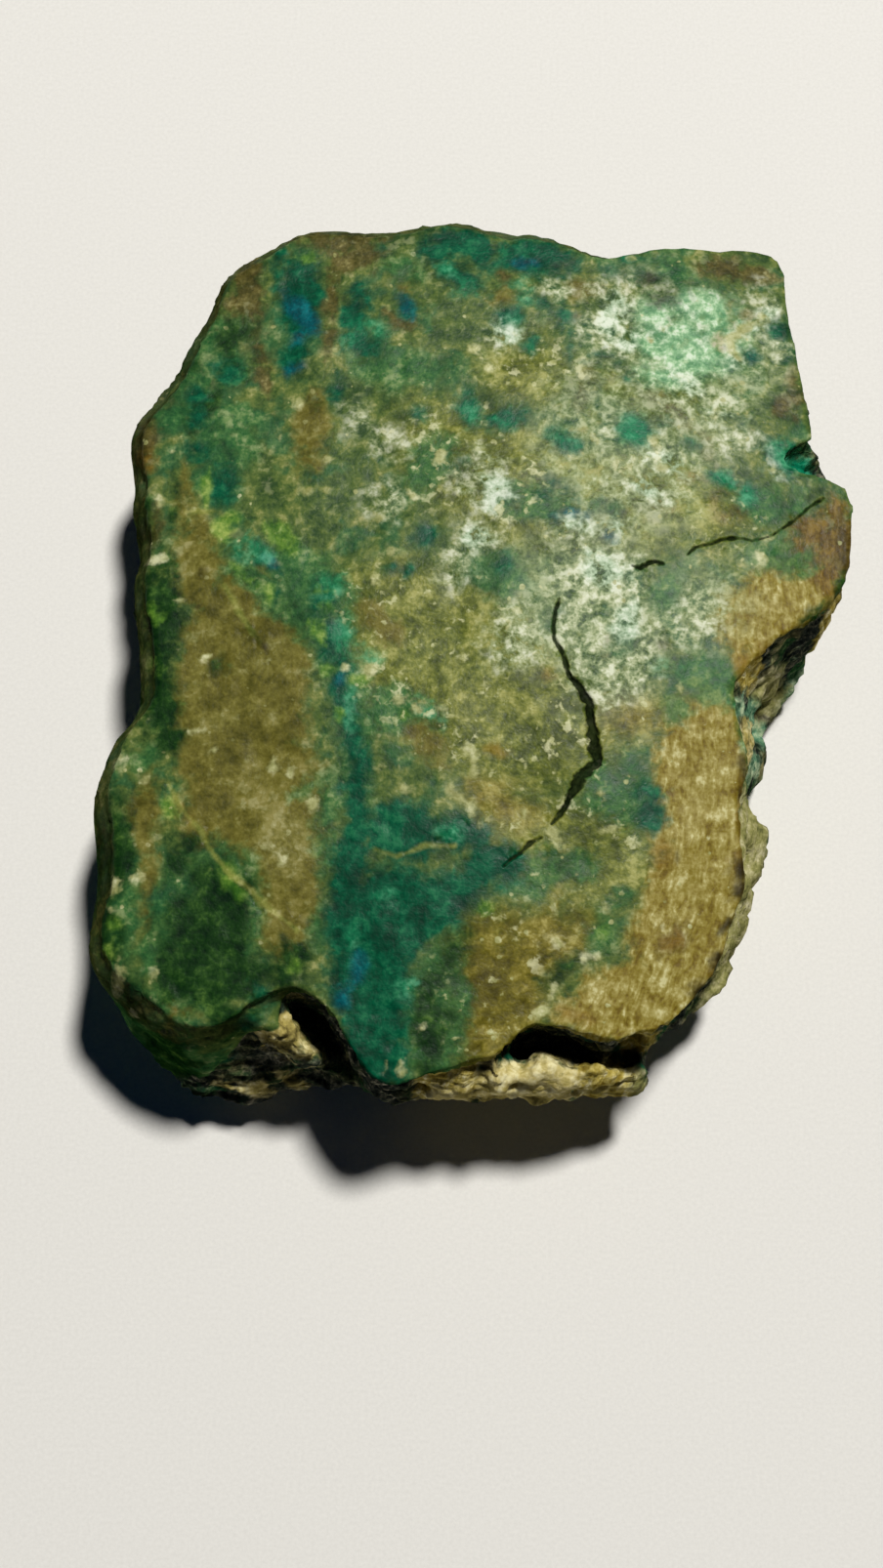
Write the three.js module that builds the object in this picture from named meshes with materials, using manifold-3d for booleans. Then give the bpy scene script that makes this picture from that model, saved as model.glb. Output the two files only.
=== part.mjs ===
// A hand-sized piece of malachite and chrysocolla ore: one stone with a worn, gently domed face,
// rolled over at the back and left, and broken off rough at the front and right.
// Millimetres, +Z up. X runs across the stone and Y along it, from the thick front to the thin back.
// The stone rests on its flat underside at Z 0.
import * as THREE from "three";
import { mergeVertices } from "three/addons/utils/BufferGeometryUtils.js";
import Module from "manifold-3d";

// Driving dimensions
const crownHeight = 20.5; // the worn face at the middle of the stone
const fallAcross = 0.01; // how much the face falls for each millimetre towards +X
const fallAlong = 0.04; // and towards +Y
const domeRise = 2.6; // how far the dome's edge lies below its crown
const domeReach = { across: 37, along: 46 };
const softRoll = 4; // rounding of the face's edge where it is worn
const crispRoll = 0.7; // and where it is broken
const waist = 0.45; // height of the widest line of a side as a share of the rim's height
const bulge = 0.3; // how far a side stands out there beyond the rim
const leastBulge = 0.15; // and the least that it does where the wall is broken
const footTuck = 5; // how far the foot draws in under the sides
const footFullness = 1.8; // how full the curve under the sides is: 2 is an ellipse, 1 a straight slant
const ledgeDrop = 0.45; // over the ledge, share of the wall in which it falls
const ledgeRun = 0.3; // and the share after which it starts to run out
const roughness = { size: 9, height: 2.8 }; // broken blocks of the sides
const rubble = { size: 4.2, height: 1.3 }; // smaller breakage over them
const bedding = { pitch: 3.4, tilt: 0.18, height: 0.4 }; // layers that show in the sides
const fold = { size: 9, height: 2.4 }; // how those layers bend up and down
const faceWave = { size: 11, height: 0.35, start: 3 }; // slow unevenness of the worn face
const mostOut = 0.3; // the farthest that breakage stands out
const setBack = 0.45; // and how far it lies back on the whole
const splinter = { size: 6, depth: 1.6, from: 2 }; // unevenness of the slanting breaks
const lumpSwell = { bumps: 2, height: 0.3 }; // unevenness of each lump, as shares of its size
const blockSlant = { across: 1, up: 1.6 }; // how steeply the faces of broken blocks lean
const heart = { x: -2.4, y: -6.3 }; // every outline can be seen whole from this point

// How much of the breakage each part of the sides takes
const rough = { roll: 0.15, wallTop: 0.2, wall: 1, foot: 0.5 };

// Slanting breaks that take the corners off below: the direction each one faces in degrees from +X,
// its lean from upright in degrees, and how far from the heart it meets the ground
const breaks = [
  [4, 55, 30.5], [48, 52, 38], [84, 60, 31], [122, 56, 34], [158, 60, 21], [186, 52, 23],
  [214, 56, 34.5], [242, 45, 41], [286, 35, 32.5], [322, 45, 29],
];

// The edge of the worn face, seen from above, anticlockwise from the right side
const rimLine = [
  // right side and the small step in it
  [35, 6.8], [35, 11], [34, 12.6], [32, 13], [31.6, 14.6], [31.6, 17.4], [31.2, 20.8], [30.6, 25.6],
  [29.8, 31.4], [29.8, 34.8], [29.2, 36.6],
  // back, with its shallow scallops
  [26, 37.2], [20.2, 37.2], [17.2, 37.6], [14.8, 37.4], [11.8, 37.2], [8.4, 38.8], [5.4, 39.6],
  [1.8, 39.6], [0, 40.4], [-2.2, 40.8], [-5, 41], [-7.4, 40.2], [-12, 40], [-16.4, 40.4], [-18.4, 40],
  // worn left side
  [-21.4, 37.8], [-24.8, 35.8], [-26.4, 33.6], [-27, 30.6], [-28.4, 28.6], [-30.2, 24.4], [-33, 20.4],
  [-34, 18.8], [-34.2, 16], [-33.4, 13.4], [-33.8, 11.2], [-33, 5.8], [-33.6, 2.2], [-32.4, -6.8],
  [-32.4, -9.6], [-34.8, -12.8], [-36.2, -16.6], [-36.6, -18.6], [-35.8, -25.2], [-36.2, -29.2],
  [-36.6, -32.8], [-35.8, -34.6], [-33.8, -37],
  // front break, cut back into the face
  [-30.2, -39.4], [-26.2, -40.2], [-22.6, -38.8], [-21.2, -37.4], [-18.6, -36.2], [-17.2, -35.8],
  [-14.6, -37.6], [-13.4, -39.4], [-12, -41.8], [-10.6, -43.8], [-9.6, -44.6], [-7.6, -44.8],
  [-5, -43.8], [-3.4, -43.4],
  // over the ledge
  [-1, -43], [1, -43], [2, -41.4], [3, -40.2], [4.6, -39.6], [7, -40], [9.6, -40.6], [12, -41],
  [13, -40.2], [15, -40],
  // lower right
  [16.6, -39], [19, -36.6], [21, -33.6], [22, -30], [23.6, -27], [23.6, -23], [23.4, -20.2],
  [23.2, -19.2],
  // broken bay in the right side
  [24, -17.4], [24.4, -15.2], [23.8, -12.2], [23.2, -9.8], [22.8, -8.2], [24.8, -5.8], [27.4, -3.4],
  [30.4, -1.8], [33.6, 1.4], [34.6, 3.4],
];

// Where the broken walls stand out furthest beyond the face: [x, y, height], from the left front
// corner round to the right side. Elsewhere the widest line lies just under the rim.
const skirtLine = [
  [-36, -35, 8], [-34.8, -38.4, 7.5], [-32.6, -41, 6.5], [-28.8, -43.9, 5.5], [-26.4, -45.3, 5.5],
  [-23.8, -46, 5.5], [-20.8, -46, 5.5], [-18.4, -45.3, 5.5], [-15, -44.8, 5.5], [-13.2, -43.9, 6.5],
  [-11.2, -44, 9.5], [-9.4, -45.2, 11], [-6.4, -45.9, 11], [-3.6, -46.5, 11], [-1, -46.9, 11],
  [3.4, -46.6, 11], [7, -46.4, 11], [11, -45.8, 10.5], [13.6, -45.3, 10.5], [15.4, -43.4, 10],
  [15.8, -42, 10], [15.6, -40.6, 9], [17.4, -39.4, 9], [19.4, -38.4, 9], [20.8, -37.6, 9],
  [22.8, -36.2, 9], [24.4, -33.6, 9], [24.6, -32.2, 9], [25.8, -28.2, 9], [26.4, -25.2, 9],
  [27.4, -22.2, 9], [27.4, -19.8, 9], [26.8, -17.6, 8], [25.4, -17, 6.5], [26.2, -14.6, 4.5],
  [27.4, -13.8, 3.5], [28, -12.4, 3.5], [28.8, -10.4, 3.5], [29.8, -7.2, 3.5], [31.2, -5, 3.5],
  [32.2, -3, 3.5], [34, -0.6, 4.5], [35.4, 1.8, 5.5], [35.8, 4.4, 6.5], [35.6, 7.6, 6.5],
];

// Spans round the stone, in degrees from +X, with ends that blend over the soft degrees
const wornSpan = { from: 66, to: 234, soft: 6 }; // back and left, where the face's edge is rolled
const ledgeSpan = { from: 264, to: 291, soft: 3 }; // where the wall drops and runs out as a ledge

// How finely the stone is divided
const turns = 138;
const curveSteps = 8; // points of a smooth curve for each place of its line
const weldDistance = 1e-4;
const faceRings = [0, 0.28, 0.5, 0.7, 0.86, 1];
const rollRings = [0.34, 0.67, 1];
const wallRings = [0.12, 0.24, 0.36, 0.48, 0.61, 0.74, 0.87, 1];
const underRings = [0.22, 0.42, 0.62, 0.82, 1];
const baseRings = [0.92, 0.84, 0.76, 0.68, 0.6, 0.3, 0];

const { cos, sin, floor, hypot, max, min, PI } = Math;
const mix = (a, b, t) => a + (b - a) * t;
const smooth = (t) => t * t * (3 - 2 * t);
const ramp = (low, high, v) => smooth(min(1, max(0, (v - low) / (high - low))));

// 1 inside a span of degrees and 0 outside it, with soft ends
function within({ from, to, soft }, turn) {
  const degrees = THREE.MathUtils.euclideanModulo(THREE.MathUtils.radToDeg(turn), 360);
  return ramp(from - soft, from + soft, degrees) * (1 - ramp(to - soft, to + soft, degrees));
}

// A fixed scatter of numbers from 0 to 1, one for each whole point in space. A second number for the
// same point is taken this many points away.
const apart = 9;
function scatter(i, j, k) {
  const s = sin(i * 127.1 + j * 311.7 + k * 74.7) * 43758.5453;
  return s - floor(s);
}

// Smooth unevenness from -1 to 1, with bumps one unit apart
function waves(x, y, z) {
  const [i, j, k] = [floor(x), floor(y), floor(z)];
  const [u, v, w] = [smooth(x - i), smooth(y - j), smooth(z - k)];
  const along = (b, c) => mix(scatter(i, j + b, k + c), scatter(i + 1, j + b, k + c), u);
  const across = (c) => mix(along(0, c), along(1, c), v);
  return mix(across(0), across(1), w) * 2 - 1;
}

// Flat-faced breakage from -1 to 1: space falls into blocks a unit apart, each with its own slanted face
function blocks(x, y, z) {
  let nearest = Infinity;
  let height = 0;
  for (let i = floor(x) - 1; i <= floor(x) + 1; i++)
    for (let j = floor(y) - 1; j <= floor(y) + 1; j++)
      for (let k = floor(z) - 1; k <= floor(z) + 1; k++) {
        const dx = i + scatter(i, j, k) - x;
        const dy = j + scatter(j, k, i) - y;
        const dz = k + scatter(k, i, j) - z;
        const away = hypot(dx, dy, dz);
        if (away >= nearest) continue;
        nearest = away;
        const level = scatter(i + apart, j, k) - 0.5;
        const across = blockSlant.across * (scatter(i, j + apart, k) - 0.5);
        const up = blockSlant.up * (scatter(i, j, k + apart) - 0.5);
        height = level + dx * across + dz * up;
      }
  return height;
}

// Height of the worn face over a point
function faceHeight(x, y) {
  const dome = (x / domeReach.across) ** 2 + (y / domeReach.along) ** 2;
  const wave = waves(x / faceWave.size, y / faceWave.size, faceWave.start);
  return crownHeight - fallAcross * x - fallAlong * y - domeRise * dome + faceWave.height * wave;
}

// A line of places as closely spaced points of one smooth curve
function curveOf(places, closed) {
  const points = places.map(([x, y, z = 0]) => new THREE.Vector3(x - heart.x, y - heart.y, z));
  const curve = new THREE.CatmullRomCurve3(points, closed, "centripetal");
  return curve.getPoints(places.length * curveSteps);
}

// Where a ray from the heart of the stone meets a curve: its distance and the curve's height there
function meet(curve, turn) {
  const [dx, dy] = [cos(turn), sin(turn)];
  for (let i = 0; i + 1 < curve.length; i++) {
    const [a, b] = [curve[i], curve[i + 1]];
    const sideA = dx * a.y - dy * a.x;
    const sideB = dx * b.y - dy * b.x;
    if (sideA > 0 || sideB <= 0 || a.x * dx + a.y * dy < 0) continue;
    const hit = a.clone().lerp(b, sideA / (sideA - sideB));
    return { radius: hypot(hit.x, hit.y), height: hit.z };
  }
  return null;
}

// The section of the stone along one ray from the heart: points from the middle of the face, over
// the rim, down the wall and under to the middle of the base
const rim = curveOf(rimLine, true);
const skirt = curveOf(skirtLine, false);
function section(turn) {
  const faceAt = (radius) => faceHeight(heart.x + cos(turn) * radius, heart.y + sin(turn) * radius);
  const edge = meet(rim, turn).radius;
  const roll = mix(crispRoll, softRoll, within(wornSpan, turn));
  const rimHeight = faceAt(edge) - roll;
  const wide = meet(skirt, turn) ?? { radius: edge + bulge, height: rimHeight * waist };
  wide.radius = max(wide.radius, edge + leastBulge);
  const ledge = within(ledgeSpan, turn);
  const foot = wide.radius - footTuck;

  const points = faceRings.map((f) => {
    const radius = f * (edge - roll);
    return { radius, height: faceAt(radius), wall: 0 };
  });
  for (const f of rollRings) {
    const bend = (f * PI) / 2;
    const radius = edge - roll + roll * sin(bend);
    points.push({ radius, height: faceAt(radius) - roll * (1 - cos(bend)), wall: rough.roll * f });
  }
  for (const f of wallRings) {
    const out = mix(f, ramp(ledgeRun, 1, f), ledge);
    const down = mix(f, ramp(0, ledgeDrop, f), ledge);
    const radius = mix(edge, wide.radius, out);
    const height = mix(rimHeight, wide.height, down);
    points.push({ radius, height, wall: mix(rough.wallTop, rough.wall, f) });
  }
  for (const f of underRings) {
    const out = (1 - f ** footFullness) ** (1 / footFullness);
    const radius = mix(foot, wide.radius, out);
    points.push({ radius, height: wide.height * (1 - f), wall: mix(rough.wall, rough.foot, f) });
  }
  for (const f of baseRings) points.push({ radius: foot * f, height: 0, wall: 0 });
  return points;
}

// Pushes a point of the sides in or out by the rock's breakage and its layers
function roughened(turn, { radius, height, wall }) {
  const [x, y] = [cos(turn) * radius, sin(turn) * radius];
  const breakage = ({ size, height: rise }) => rise * blocks(x / size, y / size, height / size);
  const bent = fold.height * waves(x / fold.size, y / fold.size, height / fold.size);
  const level = height + bedding.tilt * x + bent;
  const layer = bedding.height * sin((level / bedding.pitch) * 2 * PI);
  const raised = breakage(roughness) + breakage(rubble) + layer;
  const push = wall * min(mostOut, raised - setBack);
  return new THREE.Vector3(x + cos(turn) * push, y + sin(turn) * push, height);
}

// Draws a point back onto each slanting break that it lies beyond
function broken(point) {
  for (const [facing, lean, reach] of breaks) {
    const [way, tip] = [THREE.MathUtils.degToRad(facing), THREE.MathUtils.degToRad(lean)];
    const out = new THREE.Vector3(cos(way) * cos(tip), sin(way) * cos(tip), -sin(tip));
    const beyond = point.dot(out) - reach * cos(tip);
    if (beyond <= 0) continue;
    point.addScaledVector(out, -beyond);
    const [x, y, z] = point.toArray().map((v) => v / splinter.size);
    const depth = splinter.depth * (0.5 + blocks(x, y, z + facing));
    point.addScaledVector(out, -depth * min(1, beyond / splinter.from));
  }
  return [point.x + heart.x, point.y + heart.y, point.z];
}

// A closed three.js geometry as a solid that can be cut and joined
const wasm = await Module();
wasm.setup();
function solid(geometry) {
  const bare = geometry.clone();
  for (const name of Object.keys(bare.attributes)) if (name !== "position") bare.deleteAttribute(name);
  const merged = mergeVertices(bare, weldDistance);
  const vertProperties = new Float32Array(merged.attributes.position.array);
  const triVerts = new Uint32Array(merged.index.array);
  return new wasm.Manifold(new wasm.Mesh({ numProp: 3, vertProperties, triVerts }));
}

// The stone before its clefts are cut: a ball whose rings are laid along the sections
function stoneBody() {
  const ringCount = section(0).length;
  const ball = new THREE.SphereGeometry(1, turns, ringCount - 1);
  ball.rotateX(PI / 2);
  const sections = [];
  for (let i = 0; i <= turns; i++) {
    const turn = PI + ((i % turns) / turns) * 2 * PI;
    sections.push(section(turn).map((point) => broken(roughened(turn, point))));
  }
  const place = ball.attributes.position;
  for (let n = 0; n < place.count; n++) {
    const ring = floor(n / (turns + 1));
    place.setXYZ(n, ...sections[n % (turns + 1)][ring]);
  }
  return solid(ball);
}

// A faceted piece of rock, uneven all over
function lump({ at, size, seed }) {
  const ball = new THREE.IcosahedronGeometry(1, 1);
  const place = ball.attributes.position;
  const p = new THREE.Vector3();
  for (let n = 0; n < place.count; n++) {
    p.fromBufferAttribute(place, n);
    const [u, v, w] = p.toArray().map((c) => c * lumpSwell.bumps);
    const swell = 1 + lumpSwell.height * waves(u + seed, v, w);
    place.setXYZ(n, ...at.map((c, axis) => c + p.getComponent(axis) * size[axis] * swell));
  }
  return solid(ball);
}

// A cleft that follows a line of [x, y, half width] down to a given height
function cleft(line, bottom) {
  const direction = (i) => {
    const [a, b] = [line[max(0, i - 1)], line[min(line.length - 1, i + 1)]];
    return new THREE.Vector2(b[0] - a[0], b[1] - a[1]).normalize();
  };
  const side = (sign) => line.map(([x, y, half], i) => {
    const d = direction(i);
    return new THREE.Vector2(x + sign * d.y * half, y - sign * d.x * half);
  });
  const shape = new THREE.Shape([...side(1), ...side(-1).reverse()]);
  const prism = new THREE.ExtrudeGeometry(shape, { depth: 2 * crownHeight, bevelEnabled: false });
  return solid(prism.translate(0, 0, bottom));
}

// Blocks that stand up from the ledge, from left to right
const ledgeLumps = [
  { at: [-3.2, -43.5, 12.8], size: [3.4, 2.4, 5.6], seed: 1 },
  { at: [0.8, -43.4, 12.8], size: [3, 2.4, 5.6], seed: 5 },
  { at: [5.4, -43.2, 12], size: [3.8, 2.6, 5.8], seed: 9 },
  { at: [10, -43.1, 11.4], size: [3.8, 2.3, 5.2], seed: 13 },
  { at: [13, -42.9, 10.6], size: [2.4, 2, 4.2], seed: 17 },
];

// The pale ridge on the front wall, which runs down beside the recess at the front left
const ridgeLumps = [
  { at: [-20.9, -38, 15.4], size: [2.3, 1.5, 3], seed: 41 },
  { at: [-18.4, -39.4, 14], size: [2.4, 1.7, 3.8], seed: 45 },
  { at: [-16.3, -40.9, 12.2], size: [2, 1.7, 4], seed: 49 },
];

// The dark slot between the face's front edge and the ledge, as a line of [x, y, half width]
const slot = [[1.8, -42.2, 0.3], [3.2, -41.2, 0.6], [4.6, -40.3, 0.8], [6.2, -40.4, 0.8],
  [8.2, -41, 0.65], [9.8, -41.7, 0.65], [11.4, -41.9, 0.8], [12.6, -41.8, 1], [13.6, -41.7, 0.8]];
const slotFloor = 11;

// The black recess between the face and the pale ridge, in the same way
const recess = [[-18.6, -36.5, 0.3], [-17.2, -37.1, 0.9], [-15.6, -38.4, 1.2], [-14.5, -40.2, 1.2],
  [-13.2, -42.3, 1.1], [-12.1, -43.9, 0.7]];
const recessFloor = 8.5;

// Hollows: the deep pit at the slot's right end, the small one at its left and the notch in the right
// side
const hollows = [
  { at: [13.3, -41.5, 15], size: [1.7, 1.8, 3.6], seed: 21 },
  { at: [0.4, -43.1, 18.6], size: [0.7, 0.5, 3], seed: 25 },
  { at: [31.6, 14.7, 15.4], size: [4, 1.8, 4.4], seed: 29 },
];

// The open crack down the middle of the face and the fine one that runs to the right side
const cracks = [
  [[7.9, -6.2, 0.15], [8.6, -8, 0.3], [9.3, -9.8, 0.45], [9.9, -12, 0.65], [10, -13.8, 0.7],
    [9.5, -15.8, 0.75], [8.6, -17.4, 0.7], [7.6, -19, 0.6], [6.7, -20.8, 0.35], [5.6, -22.4, 0.15]],
  [[17.8, 4.6, 0.1], [19.8, 5, 0.25], [22.2, 5.9, 0.25], [24.7, 6.4, 0.15], [27.1, 7.4, 0.2],
    [28.9, 8.6, 0.25], [31, 10, 0.15]],
];
const crackDepth = 1.8;

let stone = stoneBody();
for (const each of [...ledgeLumps, ...ridgeLumps]) stone = stone.add(lump(each));
stone = stone.subtract(cleft(slot, slotFloor)).subtract(cleft(recess, recessFloor));
for (const each of hollows) stone = stone.subtract(lump(each));
for (const crack of cracks) {
  const [x, y] = crack[floor(crack.length / 2)];
  stone = stone.subtract(cleft(crack, faceHeight(x, y) - crackDepth));
}

// The finished solid as a geometry, standing at Z 0 with the middle of its box over the origin
function finished(body) {
  const { vertProperties, triVerts, numProp } = body.getMesh();
  const place = new Float32Array((vertProperties.length / numProp) * 3);
  for (let n = 0; n * 3 < place.length; n++)
    place.set(vertProperties.subarray(n * numProp, n * numProp + 3), n * 3);
  const geometry = new THREE.BufferGeometry();
  geometry.setAttribute("position", new THREE.BufferAttribute(place, 3));
  geometry.setIndex(new THREE.BufferAttribute(triVerts, 1));
  geometry.computeBoundingBox();
  const { min: low, max: high } = geometry.boundingBox;
  geometry.translate(-(low.x + high.x) / 2, -(low.y + high.y) / 2, -low.z);
  geometry.computeVertexNormals();
  return geometry;
}

const oreGreen = new THREE.MeshStandardMaterial({ color: 0x4c6b45, roughness: 0.5, metalness: 0 });
const stoneMesh = new THREE.Mesh(finished(stone), oreGreen);
stoneMesh.name = "stone";

const specimen = new THREE.Group();
specimen.add(stoneMesh);
export default specimen;
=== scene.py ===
import math

import bmesh
import bpy
import numpy as np
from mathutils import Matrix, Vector, noise


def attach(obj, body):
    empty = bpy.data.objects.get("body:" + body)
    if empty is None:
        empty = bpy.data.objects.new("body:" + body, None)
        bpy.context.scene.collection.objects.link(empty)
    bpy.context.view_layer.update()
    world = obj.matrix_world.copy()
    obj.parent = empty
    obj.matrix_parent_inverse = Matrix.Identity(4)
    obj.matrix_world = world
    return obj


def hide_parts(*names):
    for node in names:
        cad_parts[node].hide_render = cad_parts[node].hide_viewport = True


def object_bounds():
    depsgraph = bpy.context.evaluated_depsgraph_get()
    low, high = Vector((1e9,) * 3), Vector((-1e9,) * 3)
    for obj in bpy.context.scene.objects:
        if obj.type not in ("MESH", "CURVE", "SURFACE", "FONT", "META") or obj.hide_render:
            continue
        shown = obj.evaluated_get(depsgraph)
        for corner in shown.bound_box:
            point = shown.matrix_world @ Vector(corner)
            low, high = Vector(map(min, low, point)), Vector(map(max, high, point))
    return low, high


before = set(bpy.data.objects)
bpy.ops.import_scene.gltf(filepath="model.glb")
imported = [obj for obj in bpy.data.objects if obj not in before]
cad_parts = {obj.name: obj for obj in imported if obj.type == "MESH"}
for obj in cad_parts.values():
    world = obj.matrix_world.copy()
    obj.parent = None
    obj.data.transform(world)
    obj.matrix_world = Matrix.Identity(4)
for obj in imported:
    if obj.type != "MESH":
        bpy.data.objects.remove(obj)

cad_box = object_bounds()


# The stone
# One piece of copper ore: malachite and chrysocolla grown through tan, limonite-stained rock.
# Its upper face is worn smooth and slightly domed, its sides are broken, and nothing is fixed to it.

# One millimetre in metres. All other sizes of the stone are in millimetres, first the step of the grid
# that its surface is cut into, then how many times that is evened out
MM = 0.001
grid = 0.6
smoothing_rounds = 3

# The worn face: its height over the middle, how it falls to each side, its dome and its low swells.
# What is nearer to it than the first of laid_on comes to lie on it, and nothing beyond the second does
crown = 20.5
fall = (0.01, 0.04)
dome_rise = 2.6
dome_reach = (37, 46)
dome_middle = (0.42, 2.55)
swell_height = 0.25
swell_size = 9
laid_on = (0.45, 1)

# The rim as seen from the heart of the face: between which turns, in degrees from +X, it is worn and
# where the three lobes are, over how many degrees that begins and ends, and how far down the wear goes.
# Where there is no wear, breakage begins at the first depth of crisp_rim and is complete at the second
heart = (-2.0, -3.8)
worn_span = (66, 240)
worn_ends = (8, 8)
worn_down = 4.4
lobe_span = (206, 239)
lobe_ends = (5, 3)
lobes_down = 4.6
crisp_rim = (0.8, 1.5)

# The breakage, the chips of the rim, and the pits and grain of the worn face: how large their bumps
# are and how high. Broken rock lies set back, and the last two limit how far the surface moves outward
layer_size = (9, 9, 1.3)
layer_height = 0.34
rubble_size = 1.5
rubble_height = 0.42
block_size = 3.6
block_height = 0.45
chip_size = 2.2
chip_depth = 0.55
pit_size = 1.3
pit_depth = 0.14
grain_size = 2.4
grain_height = 0.05
set_back = 0.4
outward_limits = (-1.3, 0.25)

# What is made finer: along the cracks and veins all above low_side, and the broken front, which is all
# in front of front_y and above front_foot. The cracks open the face, and nothing below open_above
low_side = 8
front_y = -34
front_foot = 3
open_above = 12

# The open crack down the middle, its faint end, and the fine crack to the right side in two parts: x, y
# and half width
cracks = [
    [(7.3, 2.5, 0.12), (6.9, 1.3, 0.2), (6.7, -0.1, 0.14), (6.8, -1.3, 0.14), (7.5, -2.6, 0.2),
     (7.9, -4, 0.22), (8.2, -5, 0.25), (9.1, -6, 0.4), (9.9, -7.5, 0.45), (10.05, -9, 0.38),
     (10.2, -10.5, 0.65), (10.3, -12, 0.58), (10.6, -13, 0.42), (9.4, -14, 0.5), (8.6, -15, 0.5),
     (8.1, -16, 0.4), (7.7, -17, 0.25), (7, -18, 0.24), (6.4, -18.7, 0.12)],
    [(5.4, -20, 0.1), (4.4, -20.5, 0.22), (3.6, -21.3, 0.17), (2.8, -21.9, 0.14), (2, -22.6, 0.1)],
    [(14.1, 5.9, 0.08), (14.9, 5.7, 0.25), (15.5, 6.1, 0.15), (16.3, 6.3, 0.25), (17, 6.1, 0.1)],
    [(19.4, 7.1, 0.06), (20.1, 7.8, 0.1), (21.7, 8.2, 0.12), (22.5, 8.6, 0.15), (23.6, 8.8, 0.16),
     (24.7, 8.8, 0.06), (25.5, 8.6, 0.05), (26.5, 8.9, 0.1), (27.5, 9.3, 0.08), (28.2, 9.8, 0.06),
     (29.3, 10.6, 0.12), (30.1, 11.3, 0.1), (31.2, 12.3, 0.1), (32.5, 13.2, 0.2)],
]
crack_depth = 0.4
# A crack of this half width or more has that depth, and a finer one less
full_half = 0.3
# The solid's own cuts along them are closed first, over this half width and depth
cut_half = 1.3
cut_depth = 2.3

# The notch in the right side, how far its emerald floor slants out, and how far round it that reaches
notch = (29.8, 16.6)
notch_slope = 2.4
notch_reach = (1.6, 4.4)

# How far off its edge a mineral's field still tells the distance, and how far sideways the minerals have
# drifted at the foot of the sides
field_reach = 6.0
foot_drift = (4, -6)

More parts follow.
